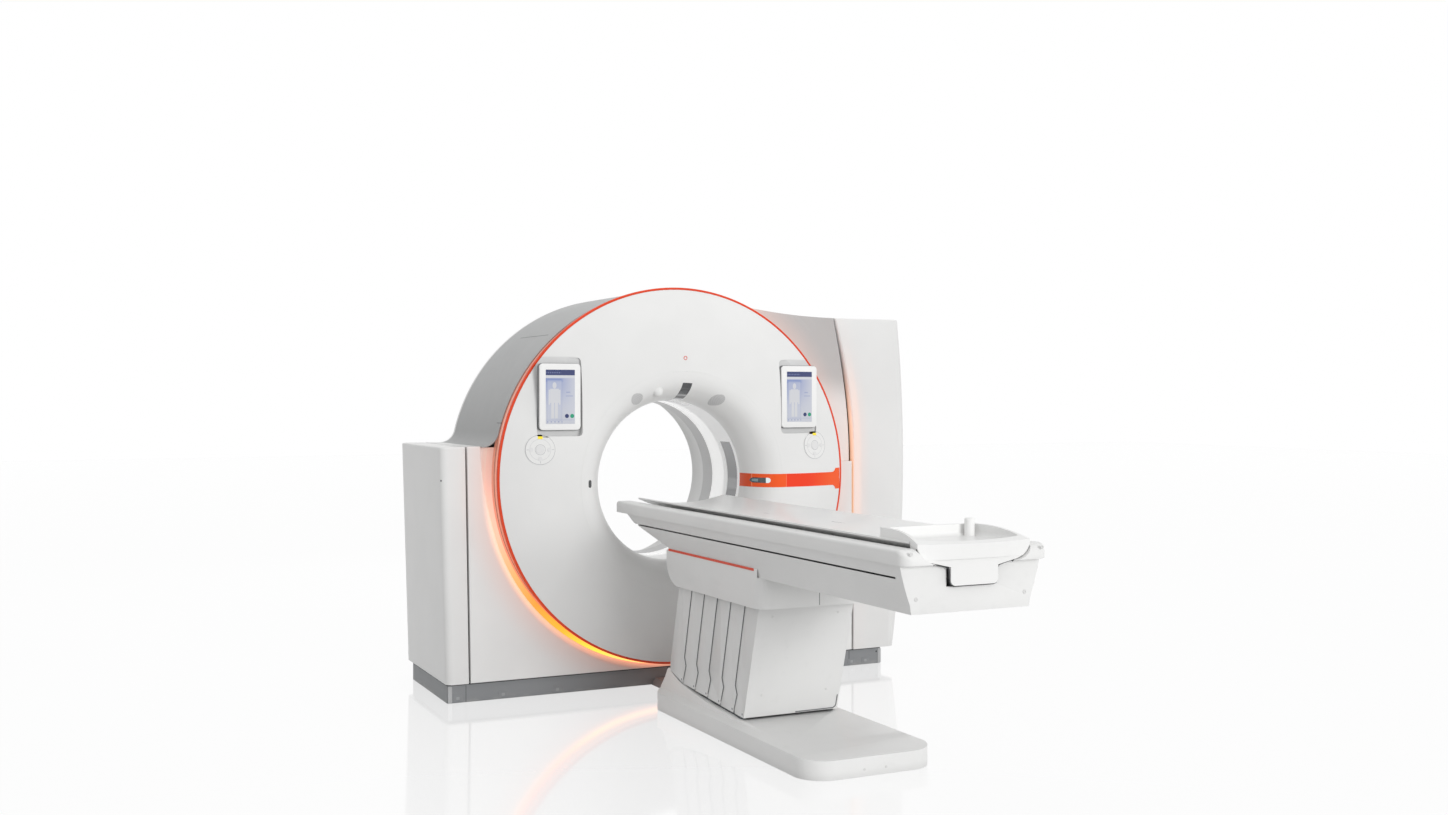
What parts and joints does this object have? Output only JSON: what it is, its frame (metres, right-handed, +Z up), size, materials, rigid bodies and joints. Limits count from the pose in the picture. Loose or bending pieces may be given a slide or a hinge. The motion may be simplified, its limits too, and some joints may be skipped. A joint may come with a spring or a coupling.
{
  "type": "computed tomography scanner",
  "caption": "Medical imaging scanner: a round gantry with a turning rotor behind its domed disc and a patient table that lifts on leaning links and feeds its cradle into the bore.",
  "frame": {"origin": "on the floor under the middle of the scan plane, on the scan axis", "axes": "+X to the right seen from the patient table, +Y from the table into the gantry along the scan axis, +Z up"},
  "size_m": [2.6516, 3.445, 2.0358],
  "materials": {
    "gantry_white": "satin",
    "cabinet_white": "satin",
    "drum_grey": "satin",
    "accent_orange": "gloss",
    "light_guide": "translucent",
    "plinth_grey": "satin",
    "frame_steel": "powder coated",
    "bright_steel": "ground",
    "liner_grey": "satin",
    "clear_film": "clear",
    "dark_window": "smoked",
    "tablet_white": "gloss",
    "pad_white": "satin",
    "key_grey": "satin",
    "unit_grey": "satin",
    "tube_aluminium": "cast",
    "copper_dark": "ground",
    "table_white": "satin",
    "table_steel": "satin",
    "board_white": "satin",
    "duct_grey": "satin"
  },
  "bodies": {
    "gantry_and_base": {"base_frame": "frame_steel", "plinth_skirt": "plinth_grey", "stator_frame": "frame_steel", "bearing_outer_race": "bright_steel", "brush_block": "copper_dark", "front_cover": "gantry_white", "accent_ring": "accent_orange", "light_ring": "light_guide", "drum_cover": "drum_grey", "front_fascia": "cabinet_white", "wing_cover": "cabinet_white", "left_cabinet": "cabinet_white", "right_cabinet": "cabinet_white", "rear_cover": "gantry_white", "front_funnel": "gantry_white", "rear_funnel": "gantry_white", "bore_liner_front": "liner_grey", "scan_window": "clear_film", "bore_liner_rear": "liner_grey", "laser_windows": "dark_window", "name_band": "accent_orange", "tablets": "tablet_white", "control_pads": "pad_white", "cabinet_units": "unit_grey", "cable_duct": "duct_grey", "table_base_frame": "frame_steel", "table_base_cover": "table_white"},
    "rotor": {"rotor_frame": "tube_aluminium", "xray_tube": "unit_grey", "collimator": "bright_steel", "detector_arc": "unit_grey", "hv_generator": "unit_grey", "cooling_unit": "unit_grey", "data_unit": "unit_grey", "slip_ring": "copper_dark"},
    "lift_arm_front": {"lift_arm_front": "frame_steel"},
    "table_top": {"saddle": "table_white", "saddle_strip": "accent_orange", "table_body": "table_white", "table_rim": "table_white", "table_rails": "table_steel", "feed_drive": "unit_grey"},
    "cradle": {"cradle_board": "board_white", "cradle_carriage": "table_steel", "foot_tray": "board_white"},
    "lift_arm_rear": {"lift_arm_rear": "frame_steel"},
    "gantry_side_cover": {"gantry_side_cover": "table_white"},
    "lamella_1": {"lamella_1": "table_white"},
    "lamella_2": {"lamella_2": "table_white"},
    "lamella_3": {"lamella_3": "table_white"},
    "lamella_4": {"lamella_4": "table_white"},
    "foot_side_cover": {"foot_side_cover": "table_white"},
    "left_pad_centre_key": {"left_pad_centre_key": "key_grey"},
    "left_pad_left_key": {"left_pad_left_key": "key_grey"},
    "left_pad_right_key": {"left_pad_right_key": "key_grey"},
    "left_pad_low_key": {"left_pad_low_key": "key_grey"},
    "right_pad_centre_key": {"right_pad_centre_key": "key_grey"},
    "right_pad_left_key": {"right_pad_left_key": "key_grey"},
    "right_pad_right_key": {"right_pad_right_key": "key_grey"},
    "right_pad_low_key": {"right_pad_low_key": "key_grey"}
  },
  "joints": [
    {"name": "gantry_rotation", "type": "hinge", "parent": "gantry_and_base", "child": "rotor", "pos_m": [0, 0, 1.054], "axis": [0, 1, 0], "continuous": true},
    {"name": "table_lift", "type": "hinge", "parent": "gantry_and_base", "child": "lift_arm_front", "pos_m": [0, -1.16, 0.16], "axis": [-1, 0, 0], "range_deg": [-72, 0]},
    {"name": "table_level", "type": "hinge", "parent": "lift_arm_front", "child": "table_top", "pos_m": [0, -1.172, 0.68], "axis": [-1, 0, 0], "range_deg": [0, 72]},
    {"name": "table_feed", "type": "slide", "parent": "table_top", "child": "cradle", "axis": [0, 1, 0], "range_m": [0, 1.7]},
    {"name": "lift_arm_rear_swing", "type": "hinge", "parent": "gantry_and_base", "child": "lift_arm_rear", "pos_m": [0, -1.45, 0.16], "axis": [-1, 0, 0], "range_deg": [-72, 0]},
    {"name": "gantry_side_cover_swing", "type": "hinge", "parent": "gantry_and_base", "child": "gantry_side_cover", "pos_m": [0, -0.975, 0.168], "axis": [-1, 0, 0], "range_deg": [-72, 0]},
    {"name": "lamella_1_swing", "type": "hinge", "parent": "gantry_and_base", "child": "lamella_1", "pos_m": [0, -1.101, 0.1578], "axis": [-1, 0, 0], "range_deg": [-72, 0]},
    {"name": "lamella_2_swing", "type": "hinge", "parent": "gantry_and_base", "child": "lamella_2", "pos_m": [0, -1.227, 0.1476], "axis": [-1, 0, 0], "range_deg": [-72, 0]},
    {"name": "lamella_3_swing", "type": "hinge", "parent": "gantry_and_base", "child": "lamella_3", "pos_m": [0, -1.353, 0.1374], "axis": [-1, 0, 0], "range_deg": [-72, 0]},
    {"name": "lamella_4_swing", "type": "hinge", "parent": "gantry_and_base", "child": "lamella_4", "pos_m": [0, -1.479, 0.1272], "axis": [-1, 0, 0], "range_deg": [-72, 0]},
    {"name": "foot_side_cover_swing", "type": "hinge", "parent": "gantry_and_base", "child": "foot_side_cover", "pos_m": [0, -1.57, 0.1205], "axis": [-1, 0, 0], "range_deg": [-72, 0]},
    {"name": "left_pad_centre_key_press", "type": "slide", "parent": "gantry_and_base", "child": "left_pad_centre_key", "axis": [0.2027, 0.9785, -0.039], "range_m": [0, 0.0015], "stiffness_N_per_m": 1200},
    {"name": "left_pad_left_key_press", "type": "slide", "parent": "gantry_and_base", "child": "left_pad_left_key", "axis": [0.2027, 0.9785, -0.039], "range_m": [0, 0.0015], "stiffness_N_per_m": 1200},
    {"name": "left_pad_right_key_press", "type": "slide", "parent": "gantry_and_base", "child": "left_pad_right_key", "axis": [0.2027, 0.9785, -0.039], "range_m": [0, 0.0015], "stiffness_N_per_m": 1200},
    {"name": "left_pad_low_key_press", "type": "slide", "parent": "gantry_and_base", "child": "left_pad_low_key", "axis": [0.2027, 0.9785, -0.039], "range_m": [0, 0.0015], "stiffness_N_per_m": 1200},
    {"name": "right_pad_centre_key_press", "type": "slide", "parent": "gantry_and_base", "child": "right_pad_centre_key", "axis": [-0.2027, 0.9785, -0.039], "range_m": [0, 0.0015], "stiffness_N_per_m": 1200},
    {"name": "right_pad_left_key_press", "type": "slide", "parent": "gantry_and_base", "child": "right_pad_left_key", "axis": [-0.2027, 0.9785, -0.039], "range_m": [0, 0.0015], "stiffness_N_per_m": 1200},
    {"name": "right_pad_right_key_press", "type": "slide", "parent": "gantry_and_base", "child": "right_pad_right_key", "axis": [-0.2027, 0.9785, -0.039], "range_m": [0, 0.0015], "stiffness_N_per_m": 1200},
    {"name": "right_pad_low_key_press", "type": "slide", "parent": "gantry_and_base", "child": "right_pad_low_key", "axis": [-0.2027, 0.9785, -0.039], "range_m": [0, 0.0015], "stiffness_N_per_m": 1200}
  ],
  "couplings": [
    {"joint": "table_level", "follows": "table_lift", "ratio": -1},
    {"joint": "lift_arm_rear_swing", "follows": "table_lift", "ratio": 1},
    {"joint": "gantry_side_cover_swing", "follows": "table_lift", "ratio": 1},
    {"joint": "lamella_1_swing", "follows": "table_lift", "ratio": 1},
    {"joint": "lamella_2_swing", "follows": "table_lift", "ratio": 1},
    {"joint": "lamella_3_swing", "follows": "table_lift", "ratio": 1},
    {"joint": "lamella_4_swing", "follows": "table_lift", "ratio": 1},
    {"joint": "foot_side_cover_swing", "follows": "table_lift", "ratio": 1}
  ]
}
